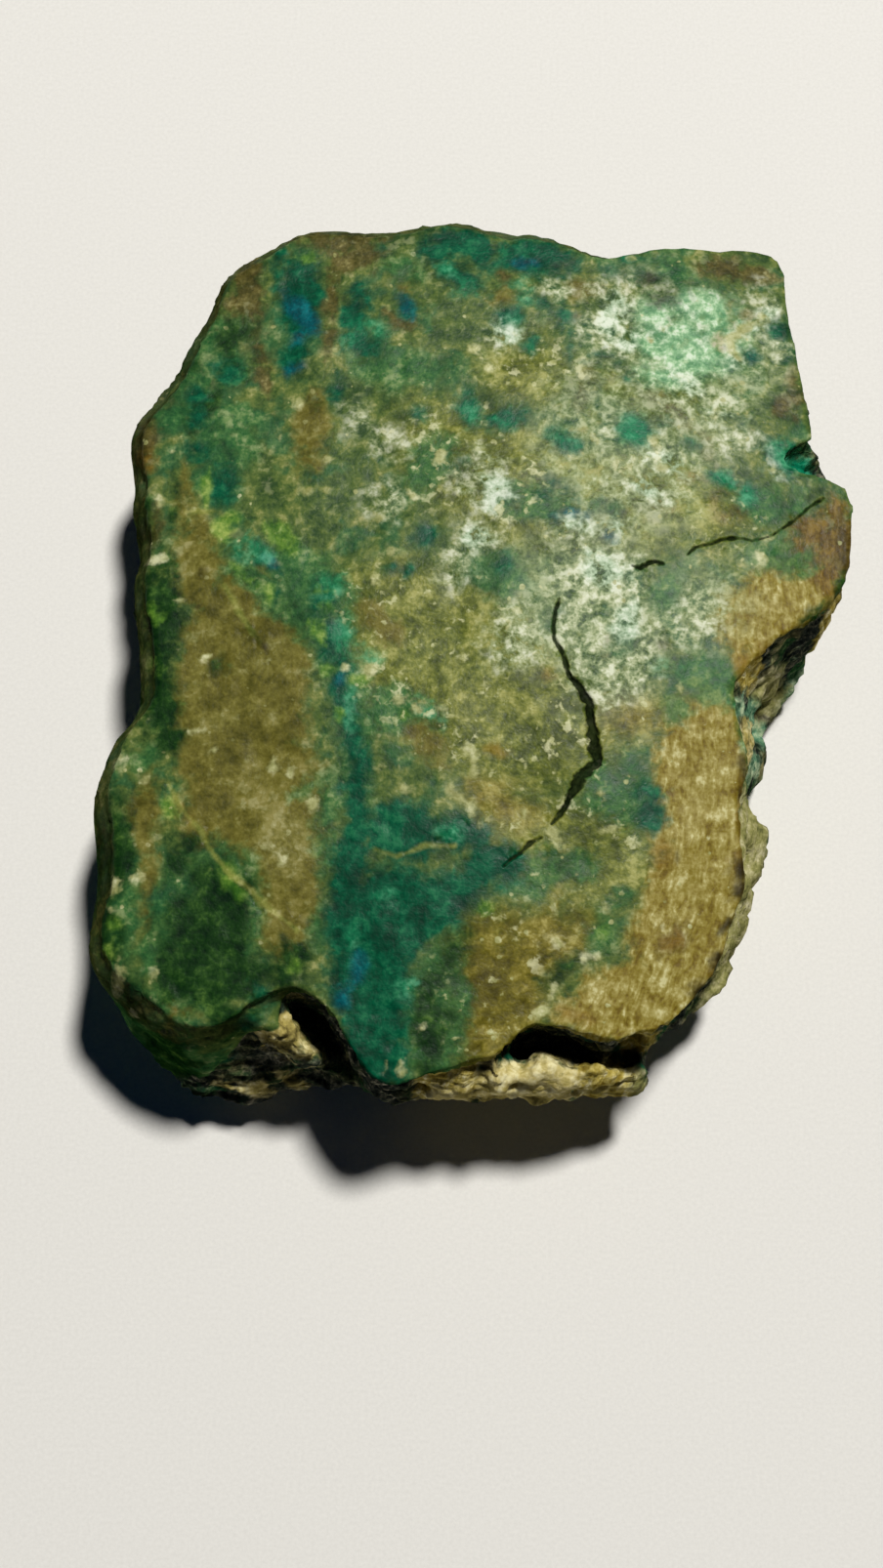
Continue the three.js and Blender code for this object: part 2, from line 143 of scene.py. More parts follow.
# Where each mineral comes to the surface, and where the pale haze of painted sheen lies. A patch is x, y,
# half length, half width and the turn of its length in degrees from +X
patches = {
    "olive": [
        (-1, -5, 15, 8, -40), (8, -21, 9, 5, -10), (2, 15, 12, 6, -30), (14, 12, 9, 5, 0),
        (0, -34, 7, 5, 80), (17, 22.5, 6, 2.4, -33), (5.5, 25.5, 5, 4, 0), (22, 11, 4, 3, 0),
    ],
    "tan": [
        (-22, -6, 13, 6.4, 88), (-20.5, -18, 9, 6.8, 85), (-26.5, 6, 5, 2.2, 100),
        (-27.9, 12.6, 4.6, 0.8, 88), (-17.2, -26.5, 4.6, 2.8, 80), (-30.5, -17.5, 4, 1.8, 80),
        (-15.8, 18.8, 4.6, 1.5, 86), (2.2, 33, 1.1, 0.9, 0), (10, 34.4, 1.8, 1.1, 0),
        (-5.2, -11, 3.2, 1.2, -45), (-9.3, 0.2, 3, 1.2, -40),
    ],
    "amber": [
        (1.5, -34, 7.5, 4.4, 82), (6, -29.5, 4.6, 3.4, 20), (3, -38.5, 5, 2, 0), (14, -8.5, 3, 2, 0),
        (2, -17, 4, 1.8, -20),
    ],
    "gold": [
        (20.2, -16, 10.5, 4.8, 91), (19, -28, 9, 5.6, 80), (13, -34.6, 7, 3.2, 22), (26.3, 1.2, 5, 4, 20),
        (29, 4, 4, 3.4, 30), (25.4, -2.6, 2.6, 1.6, 60), (17.5, -36.5, 4.6, 3.2, 30),
    ],
    "rust": [
        (33.4, 7.5, 5.6, 2.4, 88), (31.5, 9.6, 2.6, 2, 30), (24, -22, 9, 0.8, 92), (22, -31, 4, 0.8, 60),
    ],
    "brown": [
        (-31.6, 19, 3.6, 1.2, 80), (-14.3, 32, 7, 0.8, 88), (-14, 40.2, 5.2, 1.4, 0),
        (-12, 38, 2.4, 1.6, 0), (-22.3, 33.5, 6, 1.5, 88), (-21, 26.5, 3.4, 0.8, -70),
        (-7.6, 30.8, 2.2, 0.9, -45), (2.7, 36, 0.9, 0.7, 0), (24.6, 37, 4.4, 1.2, -5),
        (-30.5, 10.5, 3, 0.5, 88), (10, 23.8, 2.6, 1, 80), (17.2, 22.2, 3.6, 1, -33),
        (21.6, 17.6, 1.9, 0.6, -70), (20.8, 14.6, 1.8, 0.7, 0), (22.3, 13.1, 1.3, 0.9, 0),
        (16.3, 11.8, 1.5, 0.8, 0), (23.5, 11.5, 1.5, 0.8, 40), (30.4, 24, 3, 0.6, 90),
        (29, 22.4, 1.6, 0.9, 60), (34.3, 7, 5, 0.9, 95), (16.7, -2, 0.8, 0.5, 0),
        (24.2, -13.8, 1.8, 0.5, 95), (23.8, -22.8, 1.6, 0.7, 85), (23.7, -24.7, 0.9, 0.6, 20),
        (22.1, -27.6, 0.9, 0.5, 50), (21.4, -31.1, 1, 0.8, 0), (19.5, -34, 0.9, 0.6, 0),
        (17, -29.3, 1.4, 0.9, 30),
    ],
    "green": [
        (1.5, 4.5, 3, 2.6, 0), (20.5, -5, 3, 2.6, 0), (18.1, -8, 1.6, 1.2, 90), (12.5, -15.8, 4.2, 2.7, -20),
        (12.8, -25.4, 1.8, 1, 15), (10.8, -28.4, 2.4, 1, 75), (-5.5, -37, 3.6, 2.4, 90), (-8, -8, 3, 2.2, 0),
        (-16, 4, 5, 3, -40), (-24, 18, 5, 3, 80), (-24, 13, 2.4, 1.4, 80), (-30.4, -12.4, 1.8, 1.2, 0),
        (-25.5, 29.3, 3, 1.4, 45), (-25, -28, 8, 5.4, 75), (-33.4, -26, 9, 2.4, 92), (-4, -36, 6, 3, 85),
        (-14.4, -28.5, 2.4, 0.9, 80), (-14, -19, 5, 1.2, 85), (-8, 26, 5, 2, 0), (27.5, 12.5, 3, 2, 0),
        (-30, -37, 6, 3, -45), (-24, -41, 5, 2, -10), (6, -23, 5, 2, 10), (-26.5, 25.5, 7, 3, 60),
        (-4.5, 16, 3.4, 2, 60), (28.5, 6.8, 3, 1.6, 0), (18.9, 36.5, 1.3, 1.5, 0), (17.3, 3.5, 2.2, 1.4, 50),
        (13.2, -1.2, 1.4, 1.2, 90), (6.7, 0.9, 1.2, 0.7, 60), (12, 11.7, 1.5, 0.7, 0), (5, 12, 5, 2, -20),
        (-7.5, 36, 2, 2, 0),
    ],
    "dark": [
        (-29.8, 1.8, 6, 2.2, 92), (-31.8, 10.3, 3.4, 0.9, 90), (-28.8, 13, 3.8, 0.35, 88),
        (-29.4, -7.6, 5, 2, 95), (-28.4, -10.6, 2, 1.6, 0), (-24, -4, 0.6, 0.5, 0),
        (-33.2, -17.6, 1.6, 1.4, 0), (-33.4, -20.5, 5, 1.9, 90), (-27, -21.6, 2.2, 1.2, 60),
        (-24.5, -28, 6, 3.8, 70), (-23.5, -32.5, 4, 3.2, 0), (-22.8, -35.6, 2.4, 1.8, 0),
        (-34, -28, 5, 1.4, 92), (-31.5, -34.5, 3, 1.2, -50), (-28.5, -39, 4, 1.4, -35),
        (-27, -32.5, 3, 2, 90), (-3.8, -37.6, 2.4, 0.9, 80), (-7, -42.2, 2.6, 0.9, 0),
        (-23.7, 26, 1.9, 1.2, -40), (-27.4, 26.8, 1.6, 0.6, 20), (-25.7, 33.5, 3.2, 0.6, 75),
        (16.6, 35.6, 0.5, 0.3, 0), (17.5, 33.9, 1.2, 0.25, -10), (31.3, 0.9, 1.5, 0.8, 30),
        (32.2, 13.4, 1.3, 0.6, 35), (34, 4, 1.6, 0.5, 70), (7.6, -31.6, 1.8, 0.7, 25),
        (6.2, -32.7, 1.2, 0.5, 20), (-4.8, -36.5, 5, 1.5, 86), (-2.6, -30.5, 2.6, 1.1, 70),
        (-23.5, 29.5, 2.4, 1.3, 50), (-26, 22.5, 3, 0.9, 70), (-17, -31.5, 3, 1.6, 50),
    ],
    "teal": [
        (-17.3, 33.5, 5.6, 2.3, 88), (-17.8, 27.5, 2.6, 1.4, 80), (-19.2, 38, 2.2, 0.8, 88),
        (-11.6, 32.6, 3, 1.4, 85), (-11.3, 28.6, 1.8, 1.4, 0), (-7.2, 32.4, 2, 1, -60),
        (-2.6, 39.8, 3.8, 1.5, -5), (0.2, 38.6, 1.8, 2.2, 0), (-4, 38, 2, 1.2, -20),
        (-9.5, 38.7, 0.6, 0.8, 0), (-1.8, 35.5, 2.6, 1.4, -40), (3, 31, 1.5, 1.1, 0),
        (6.3, 32.8, 1.5, 0.6, -15), (8, 31.4, 1.6, 0.6, 90), (5, 28.6, 1.1, 0.6, 90),
        (8.7, 28, 2.2, 0.4, 90), (5.5, 38, 4.4, 2, -10), (15.3, 38.3, 1, 0.5, 0),
        (12.6, 36.5, 0.7, 0.6, 0), (11.4, 27.1, 0.7, 0.6, 0), (13, 26.8, 0.6, 0.7, 0),
        (14.3, 25.5, 1.1, 0.4, -40), (26.1, 27.6, 0.8, 0.8, 0), (29.3, 30.8, 1.6, 1.1, 0),
        (-24.1, 25.9, 1.6, 1, -40), (-26.9, 23.5, 1, 0.8, 0), (-26.4, 21.2, 1.4, 0.9, 90),
        (-26.6, 18, 1.5, 1.1, 0), (-24.2, 14, 2.2, 1.4, 90), (-13.6, 23.5, 1.8, 0.6, 90),
        (-6.4, 21.2, 1, 0.8, 0), (-0.8, 21.5, 2.4, 1.2, 90), (2.3, 20.6, 2.4, 1.3, 0),
        (-1.7, 15.5, 0.8, 0.5, 0), (8, 18.4, 1.7, 0.9, -20), (14.7, 19.4, 1.6, 1.6, 0),
        (7.1, 14.2, 1.1, 0.5, -20), (8.4, 13.3, 1.2, 0.4, -50), (5.4, 13, 0.8, 0.4, 0),
        (20, 18.4, 0.8, 0.6, 0), (17.3, 20.2, 0.7, 0.5, 0), (25.4, 13.6, 1.1, 1, 90),
        (23.2, 14.6, 1.6, 0.7, -30), (-5.2, 8.6, 1.3, 1.2, 0), (-7.4, 5.5, 1.2, 0.7, 0),
        (-20.2, 7, 1.4, 0.8, -50), (-19.2, 5.8, 0.8, 0.5, -30), (-22.7, 6.6, 1.1, 0.5, -35),
        (-19, 3, 0.9, 0.5, 90), (-14.6, 2.3, 1.4, 1.2, 90), (-13.6, -1, 1.2, 1, 0),
        (-12.6, -5.2, 1.4, 0.6, 90), (-12.3, -9, 1.6, 0.7, 90), (2.1, 5.8, 1, 0.6, 90),
        (-7, -19.4, 3.8, 2.6, -10), (-2, -19.5, 3.4, 1.6, -10), (-11.7, -23, 3.6, 2, 85),
        (-11.8, -27.5, 4.5, 2.2, 88), (-8, -27, 5, 4.4, 60), (-3.5, -25.5, 4.2, 2.6, 10),
        (-10, -32.5, 4.4, 3.8, 70), (-9.4, -36.5, 4.8, 3, 80), (-8.6, -40, 3, 2.2, 80),
        (0.5, -22.5, 3, 1.8, 30), (29.4, 17.2, 2.6, 1.5, -15), (15.5, -17.6, 2.4, 1.6, 70),
        (-19.9, -33.8, 0.9, 0.7, 0), (-20.9, -36.4, 0.8, 0.6, 90), (-12.9, -15.3, 0.6, 0.5, 0),
        (14.9, -15.9, 1.1, 1, 0), (0.3, -21, 0.9, 0.7, 0), (2.7, -23, 1.9, 1.2, 60),
    ],
    "blue": [
        (-17.1, 32, 3.2, 1.1, -58), (-17.8, 29.2, 1.2, 0.6, 70), (-18, 26.2, 1, 0.5, 0),
        (-7.2, 32.4, 1.8, 0.75, -60), (8.6, 10.7, 1.7, 0.5, 0), (11.8, 8.7, 1, 0.45, -35),
        (7.3, 10.5, 0.6, 0.5, 0), (-12.4, -34.6, 1.1, 0.6, 80), (-11.2, -31.8, 1.7, 0.6, 80),
        (-12.7, -5.4, 0.6, 0.25, 90), (26.1, 27.5, 0.4, 0.4, 0), (-19.6, 6.3, 0.8, 0.25, -40),
        (4.5, 37.5, 1.4, 0.5, 0),
    ],
    "aqua": [
        (-1.2, 34.3, 1.2, 0.8, 20), (-3, 36.2, 0.8, 0.5, -30), (4.2, 34.8, 0.9, 0.7, 0),
        (-10.8, 30.4, 1.6, 0.9, -20), (-12, 28.7, 0.7, 0.6, 0), (-22.8, 6.8, 0.9, 0.4, -35),
        (-12.1, -2.1, 0.6, 0.4, 0), (-8.8, -25.3, 1, 0.3, 15), (-11.4, -28.8, 0.9, 0.3, 80),
        (-6.8, -33.6, 0.5, 0.4, 90), (3.5, 30.6, 0.7, 0.6, 0), (-2.9, -19.2, 0.9, 0.5, 0),
        (17, -3.8, 0.8, 0.6, 0), (25.3, 13.3, 0.7, 0.7, 0), (24.2, -7.4, 1, 0.7, 80),
        (14.7, 19.4, 1.4, 1.5, 0), (8, 18.5, 1, 0.5, -20), (-0.8, 21.3, 1.4, 0.6, 90),
        (2.4, 20.5, 1.2, 0.7, 0), (23.2, 14.7, 0.9, 0.4, -30), (4.4, 32.6, 0.8, 0.5, 0),
        (29.3, 17.4, 1.8, 1, -15), (-12.5, -1.1, 1.8, 0.9, 80), (-10.4, -3.2, 1.4, 0.6, -30),
        (-14.2, 3.4, 1.4, 0.8, 60), (-20.6, 7.4, 1.6, 0.7, -40), (-4.5, -8.6, 2, 0.6, -50),
        (-11.7, -7.8, 2.4, 0.6, 85),
    ],
    # haze: a broad pale haze painted where the lamp's sheen lies on the face, not a mineral
    "haze": [
        (14.5, 19, 13, 8.5, 65), (9.5, 1.5, 8.6, 6, -40), (21, 2.5, 4, 3, 40), (22, 27, 7, 6, 0),
    ],
    # Pale bloom: partly a real pale coating, partly a painted sheen where the lamp's broad sheen lies
    "bloom": [
        (12.6, 31.5, 3.8, 2.6, 80), (14.2, 34.2, 1.6, 1.2, 0), (13.9, 28.6, 1.8, 0.7, 75),
        (7, 34.7, 1.2, 0.8, 0), (3, 29.4, 1.6, 0.9, -40), (19.5, 24, 2.6, 1.6, -45),
        (22.6, 22.3, 1.6, 1, -20), (16.8, 17, 2.6, 1.6, -15), (12.4, 19, 0.9, 0.7, 0),
        (1.3, 13, 2.2, 1.2, 90), (-0.4, 14.4, 1.6, 1.4, 0), (0.8, 16.4, 1.2, 0.8, 0),
        (9, 9.2, 2.4, 0.6, -15), (15.8, 13.4, 2.6, 0.9, -20), (13.4, 13.6, 1.4, 1, 0),
        (-8.6, 18.2, 1.6, 0.8, -20), (-11.4, 20.6, 1, 0.7, 0), (-8.8, 12.2, 1.3, 1.2, 0),
        (-2, 5.2, 2, 1.6, 60), (-0.4, 8.5, 1.4, 1, 90), (11.6, 4, 4.8, 3.4, -30),
        (12.8, -2.5, 5.6, 3.6, 60), (8.6, 1.5, 2, 2, 0), (20, 1, 2.6, 2.2, 90),
        (24.5, 18.5, 1.8, 1, 20), (28.2, 28.3, 1.6, 0.9, 30), (27.8, 33.6, 1.2, 0.9, -40),
        (17, 34.6, 0.9, 0.7, 0), (3.4, -1.6, 3, 2.2, 80),
    ],
    "mint": [
        (19.8, 28.6, 4.8, 3, -15), (22.6, 32.3, 3.8, 1.8, -15), (17.2, 32.2, 2, 1.4, 0),
        (17.4, 25.4, 2.2, 1.3, -20), (23, 29.4, 2.4, 2, -20), (24.9, -9.6, 2.2, 0.8, 75),
    ],
    # White frost: partly a real white coating, partly a painted highlight where the sheen is brightest
    "frost": [
        (12.8, 31.8, 2.6, 1.3, 80), (14.6, 29.4, 1.4, 0.7, 60), (17.2, 30.2, 1.2, 0.5, 40),
        (19.6, 25.2, 2, 0.7, -40), (1.3, 13.2, 1.6, 0.9, 90), (9.2, 9.6, 1.6, 0.5, -15),
        (12.4, 10.2, 0.9, 0.45, 10), (11.5, 5.5, 2.4, 1.6, -30), (13.5, 0.5, 2, 1.4, 60),
        (15.6, 13.2, 1.4, 0.6, -20), (17.2, 16.4, 1.2, 0.7, 0), (27.7, 15.9, 0.9, 0.45, -70),
        (-0.4, 8.5, 0.8, 0.6, 90), (22.7, 21.6, 0.9, 0.45, -20), (3, 29.4, 1, 0.6, -40),
    ],
    "cream": [
        (-9, 32.6, 0.45, 0.45, 0), (-0.4, 28, 1.1, 0.5, -50), (1, 25.9, 1.3, 0.35, -60),
        (-17.1, 22.3, 0.35, 0.3, 0), (-18.8, 18.7, 0.5, 0.35, 90), (-14.4, 16.5, 0.5, 0.4, 0),
        (-16.3, 13.3, 0.7, 0.6, 0), (-14.4, 13.3, 0.35, 0.35, 0), (-19.8, 13.9, 0.4, 0.2, 0),
        (-29.2, 17.5, 0.4, 0.35, 0), (-30.4, 12.4, 0.6, 0.35, 90), (-27.7, 12.9, 0.5, 0.3, 0),
        (-30.2, 6.7, 1, 0.3, -10), (-27.5, 2.8, 0.5, 0.3, 0), (-8.1, 7, 0.5, 0.4, 0),
        (-3.6, 16.1, 0.9, 0.5, 40), (-6.2, 12.8, 1.1, 0.3, -15), (-9.2, 10.5, 0.7, 0.5, 0),
        (-9.9, 4.1, 0.6, 0.3, -60), (-1.3, 18.2, 0.4, 0.4, 0), (4.3, 19.3, 0.6, 0.25, 90),
        (9.1, 19.2, 0.35, 0.35, 0), (10.4, 18.6, 1.1, 0.35, -55), (12.4, 10.2, 0.7, 0.35, 10),
        (26.3, 9, 1.2, 0.35, 15), (26, 6.9, 0.8, 0.4, 100), (27.7, 15.9, 0.8, 0.35, -70),
        (22.7, 21.6, 0.8, 0.4, -20), (17.2, 30.2, 1.2, 0.4, 40), (15.4, 38.1, 0.25, 0.25, 0),
        (17.2, 16, 0.7, 0.6, 0), (16.4, 18.3, 0.5, 0.5, 0), (-28, -2.1, 0.5, 0.5, 0),
        (-25.2, -2.9, 0.5, 0.4, 0), (-19.6, -3.3, 0.4, 0.4, 0), (-12.5, -3.9, 0.4, 0.4, 0),
        (-10.1, -4.2, 0.8, 0.6, -40), (-15, -6, 0.7, 0.35, 70), (-7.1, -7.3, 0.7, 0.6, 0),
        (-5.8, -8, 0.8, 0.5, 0), (-2.8, -8.7, 1.2, 0.6, -20), (-1.3, -3.3, 0.8, 0.3, -60),
        (-9.2, -10.4, 0.35, 0.35, 0), (-9.1, -13.5, 0.4, 0.4, 0), (-7.4, -13.2, 0.6, 0.35, 90),
        (-33, -12.3, 0.7, 0.4, 25), (-30.6, -14.2, 0.7, 0.4, 0), (-29.3, -14.8, 0.4, 0.3, 0),
        (-25.8, -9.7, 0.8, 0.4, 0), (-24.2, -12, 1, 0.3, 0), (-17, -13.8, 0.8, 0.4, 30),
        (-19, -13.4, 1.2, 0.3, 80), (-14.9, -16.5, 0.6, 0.6, 0), (-21.3, -17, 0.4, 0.4, 0),
        (-19, -21, 1.2, 0.4, -35), (-18, -22, 0.5, 0.4, 90), (-6.6, -15.8, 0.4, 0.3, 0),
        (-33.2, -24.3, 0.7, 0.5, 90), (-33.3, -26.5, 0.6, 0.4, 90),
        (-31, -23.5, 0.6, 0.5, 0), (-30.2, -25.9, 0.4, 0.4, 0), (-32.8, -32.6, 1.6, 0.55, 85),
        (-31.4, -35.5, 0.5, 0.3, 90), (-29.4, -32.2, 0.4, 0.4, 0), (-20.3, -30.5, 0.5, 0.25, 90),
        (-5.1, -37.2, 0.4, 0.35, 0), (-0.6, -32.9, 0.4, 0.3, 0), (-0.6, -25.9, 0.4, 0.4, 0),
        (-8.3, -40.7, 0.7, 0.25, 90), (-7.1, -40.6, 0.6, 0.25, 80), (8.5, -24.6, 0.6, 0.4, 0),
        (11.5, -26.2, 0.4, 0.3, 90), (7.1, -29.7, 1, 0.5, -60), (9.2, -31, 0.5, 0.4, 90),
        (10.4, -30.7, 0.4, 0.3, 90), (6.6, -33.6, 1, 0.4, 65), (5.2, -35.8, 0.7, 0.6, 0),
        (10.8, -15.8, 0.5, 0.4, 0), (11.6, -19.3, 1.1, 0.4, 5), (7.4, -20.7, 0.5, 0.3, 90),
        (6.6, -19.5, 0.6, 0.4, 90), (2.3, -19.7, 0.6, 0.3, 90), (3.9, -17.6, 0.6, 0.25, 90),
        (18, -5.9, 0.6, 0.25, -60),
    ],
    "lime": [
        (-24, 9.4, 1.5, 1, -50), (-23.6, 10.4, 1.4, 0.6, 10), (-18.6, 8.7, 2.2, 1.1, -50),
        (-25.7, 14, 2.6, 0.3, 88), (-22.2, 4.9, 1.6, 0.4, -45), (-19.6, 3.2, 0.7, 0.3, 90),
        (-14.7, 3.3, 0.8, 0.35, 10), (-14.4, 1.5, 0.4, 0.4, 0), (-15.2, -0.6, 1.2, 0.35, -60),
        (-30.2, 2.2, 0.6, 0.5, 90), (-29.6, 1.2, 0.9, 0.3, 50), (-16.7, 37.8, 0.7, 0.5, 0),
        (-31, -1.2, 0.5, 0.4, 0), (-30.6, -3.4, 0.6, 0.4, 90), (-29.8, -4.3, 0.4, 0.3, 0),
        (-13.9, -4.2, 0.6, 0.5, 90), (-10.9, -5.3, 0.9, 0.5, 0), (-12.7, -8.8, 0.8, 0.3, 90),
        (-7, -8.7, 0.5, 0.3, 0), (-28.2, -17, 0.8, 0.6, 90), (-22.5, -23.3, 0.8, 0.4, 80),
        (-33.2, -28, 0.5, 0.4, 0), (-33.9, -30.2, 0.8, 0.6, 0), (-16.7, -31.8, 0.9, 0.35, 50),
        (10.9, -28.3, 0.7, 0.5, 90), (0.2, -26.7, 0.7, 0.6, 0),
    ],
    "ochre": [
        (-32.4, 17.5, 0.8, 0.3, 90), (-31.3, 16.8, 1.4, 0.5, 90), (23.5, 29.4, 0.9, 0.5, 90),
        (24.3, 33, 0.5, 0.3, 90), (26, 32, 0.4, 0.4, 0), (24.6, 31.2, 0.5, 0.3, 60),
        (-7.4, 34.5, 0.9, 0.35, -20), (-27.5, -35.8, 0.7, 0.4, 70), (16.3, -22, 1.4, 0.8, 80),
        (5.8, -5, 0.8, 0.5, 0), (1.6, -12, 1, 0.3, 0), (24.4, -3.5, 1.4, 0.6, 80),
        (26.5, -2, 2, 0.5, 35), (11.5, -2, 0.9, 0.3, 90), (-26.9, -17.4, 1.6, 0.3, -55),
        (8.5, -36, 1.8, 0.5, -10), (17, -29.3, 1, 0.7, 30),
    ],
    "spot": [
        (9.4, 31.8, 0.5, 0.35, 0), (16.6, 35.7, 0.6, 0.5, 0), (23.8, 34, 0.25, 0.25, 0),
        (24.2, -13.6, 1.2, 0.4, 90), (23.9, -15.6, 0.5, 0.5, 0), (23.7, -22.8, 1.2, 0.5, 90),
        (23.7, -24.6, 0.8, 0.5, 20), (22, -27.8, 1.2, 0.4, 45), (21.5, -31.2, 1, 0.5, 90),
        (19.6, -34, 0.9, 0.5, 0), (17.6, -21.7, 0.7, 0.2, 90), (16.7, -1.9, 0.7, 0.4, 0),
        (23.3, -29.2, 0.4, 0.3, 0), (-25.9, 5.4, 0.5, 0.3, 90), (-1.2, -43.2, 0.8, 0.4, 0),
        (3.9, -39.9, 0.4, 0.3, 0),
    ],
}
# Thin veins: half width, then the points that they run through
veins = {
    # Frost veins: white, partly real coating and partly painted highlight
    "frost": [
        (0.5, [(27.7, 32.1), (26.7, 31.4), (25.4, 30.6), (24.5, 29.5), (24.6, 28.4), (24.8, 27.1)]),
        (0.22, [(20.8, 32), (21.4, 30.8), (21.8, 29.8)]),
    ],
    "cream": [
        (0.35, [(-3, -15.6), (-1.6, -17), (-0.3, -18.8)]),
        (0.5, [(-1.3, -11.9), (-0.4, -12.6), (-0.6, -14.2)]),
        (0.45, [(27.5, 32), (26.6, 31.4), (25.4, 30.6), (24.6, 29.4), (24.7, 28.2), (24.8, 27.3)]),
    ],
    "thread": [
        (0.12, [(-27.6, 11.3), (-25, 11.2)]), (0.2, [(-24, 4), (-22.2, 1), (-20.4, -1.6)]),
        (0.2, [(-28.3, -15), (-27.4, -16.5), (-26.5, -18), (-25, -20), (-23, -22.5), (-19.7, -25.6),
               (-16.3, -28.4)]),
        (0.12, [(-9.5, -20.9), (-7.5, -21.4), (-5, -20.6), (-2.5, -20.6)]),
    ],
    "tan": [
        (0.7, [(-29.9, -22), (-30.3, -26.5), (-29, -28.8), (-28.2, -31), (-27.4, -33.5), (-26.2, -35.6)]),
    ],
    "teal": [
        (1.1, [(-14.6, 1), (-13.8, -1.5), (-13, -3.5), (-12.6, -6), (-12, -8.5), (-11.8, -11),
               (-11.5, -13.5), (-11, -16), (-11, -19), (-11.7, -22)]),
    ],
    "green": [
        (1.5, [(-22, 5.4), (-17, 1.5), (-14, -1.5), (-12, -5), (-11, -9), (-11, -16)]),
        (0.3, [(-16.8, -16.2), (-15, -15), (-13.2, -14.8)]),
    ],
    "lime": [(0.35, [(-22.8, -22.6), (-21.6, -24.8)])],
    "spot": [(0.14, [(-28, 3.8), (-26, 2)]), (0.14, [(-21.4, -0.3), (-19.8, -2.3)])],
}
# Where the broken sides show these colours, laid out in the same way
side_patches = {
    "pale": [
        (2.2, -42, 2.6, 2.6, 0), (6, -41.6, 2.8, 2.6, 0), (-18.2, -36.9, 4, 1.5, -32),
        (24.9, -10, 2.4, 0.9, 75), (0.4, -39.8, 0.9, 0.7, 0), (-3, -42.8, 2.4, 0.8, 0),
        (-21, -41.6, 4, 0.5, -12), (-17.5, -41, 3.6, 0.4, -25),
    ],
    "meadow": [
        (25.2, -20, 6, 2.4, 90), (24, -29, 6, 2.4, 75), (22.2, -34.5, 4.4, 2, 55), (14.3, -41.3, 1, 0.9, 0),
        (28.6, -3.4, 2.8, 1.5, 35),
    ],
    "golden": [
        (11.4, -41.6, 3.2, 2.6, 0), (-2.8, -41.6, 3, 2, 0), (14.6, -37.8, 2, 1, 0), (24.8, -4, 1.8, 1, 30),
        (34.6, 3, 3, 1.4, 60),
    ],
    "mossy": [
        (26.8, -6.8, 2.8, 2, 10), (24.3, -7.4, 1, 0.8, 0), (26, -10.5, 1.4, 1.2, 0),
        (7.9, -42.3, 0.9, 0.6, 0), (31, -2.4, 2.6, 1.2, 40),
    ],
    "emerald": [(30.2, 16.4, 2.4, 1.9, 0)],
    # black: black painted where the slot, the pits and the recesses of the broken sides lie in shadow
    "black": [
        (-25.4, -42.4, 3, 0.5, -12), (0.6, -40.2, 0.9, 0.5, 0), (14, -39.2, 1.4, 0.9, 60),
        (7.4, -38.8, 5, 0.4, -8), (27.2, -8.4, 0.6, 0.5, 0), (27.8, -4.9, 2.4, 0.3, 0),
    ],
}


def ramp(value, low, high):
    """0 below low and 1 above high, with soft ends."""
    share = np.clip((value - low) / (high - low), 0, 1)
    return share * share * (3 - 2 * share)


def from_lines(points, line):
    """Distance of each point from a line of places, and the place along it where it is nearest."""
    nearest = np.full(len(points), np.inf)
    along = np.zeros(len(points))
    for n, (start, end) in enumerate(zip(line, line[1:])):
        start = np.array(start[:2])
        step = np.array(end[:2]) - start
        share = np.clip((points - start) @ step / (step @ step), 0, 1)
        away = np.linalg.norm(points - start - share[:, None] * step, axis=1)
        closer = away < nearest
        nearest[closer] = away[closer]
        along[closer] = n + share[closer]
    return nearest, along


def inside_patch(points, patch):
    """How far inside an ellipse each point lies, in millimetres, and below 0 outside it."""
    x, y, length, width, turn = patch
    way = math.radians(turn)
    apart = points - (x, y)
    across = apart[:, 0] * math.cos(way) + apart[:, 1] * math.sin(way)
    up = apart[:, 1] * math.cos(way) - apart[:, 0] * math.sin(way)
    share = np.hypot(across / length, up / width)
    return (1 - share) * np.where(share > 1, np.hypot(across, up) / np.maximum(share, 1), min(length, width))


def unevenness(places, size, octaves=1, start=0):
    """Smooth noise of about -1 to 1 at each place, with bumps of a given size, or one for each axis."""
    spread = places / np.broadcast_to(size, 3) + start
    return np.array([noise.fractal(place, 1, 2, octaves) for place in spread.tolist()])


def face_height(x, y):
    """Height of the worn face over a point."""
    x = x - dome_middle[0]
    y = y - dome_middle[1]
    dome = (x / dome_reach[0]) ** 2 + (y / dome_reach[1]) ** 2
    return crown - fall[0] * x - fall[1] * y - dome_rise * dome


def swollen_face(places):
    """Height of the worn face over each place, with its low swells."""
    swells = swell_height * unevenness(places * (1, 1, 0), swell_size, 2)
    return face_height(places[:, 0], places[:, 1]) + swells


def between(turn, span, ends):
    """1 between two turns and 0 outside them, with soft ends."""
    begun = ramp(turn, span[0] - ends[0], span[0] + ends[0])
    return begun * (1 - ramp(turn, span[1] - ends[1], span[1] + ends[1]))


# The solid's form on an even grid
cad_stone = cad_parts["stone"]
stone = bpy.data.objects.new("malachite_stone", cad_stone.data.copy())
bpy.context.scene.collection.objects.link(stone)
even = stone.modifiers.new("even grid", "REMESH")
even.mode = "VOXEL"
even.voxel_size = grid * MM
bpy.context.view_layer.update()
graph = bpy.context.evaluated_depsgraph_get()
rock = bpy.data.meshes.new_from_object(stone.evaluated_get(graph))
stone.modifiers.clear()
stone.data = rock


def read_rows(kind):
    """The place (co) or the outward direction (normal) of each point of the mesh, a row for each."""
    flat = np.empty(len(rock.vertices) * 3)
    rock.vertices.foreach_get(kind, flat)
    return flat.reshape(-1, 3)


def write_places(places):
    rock.vertices.foreach_set("co", (places * MM).ravel())
    rock.update()


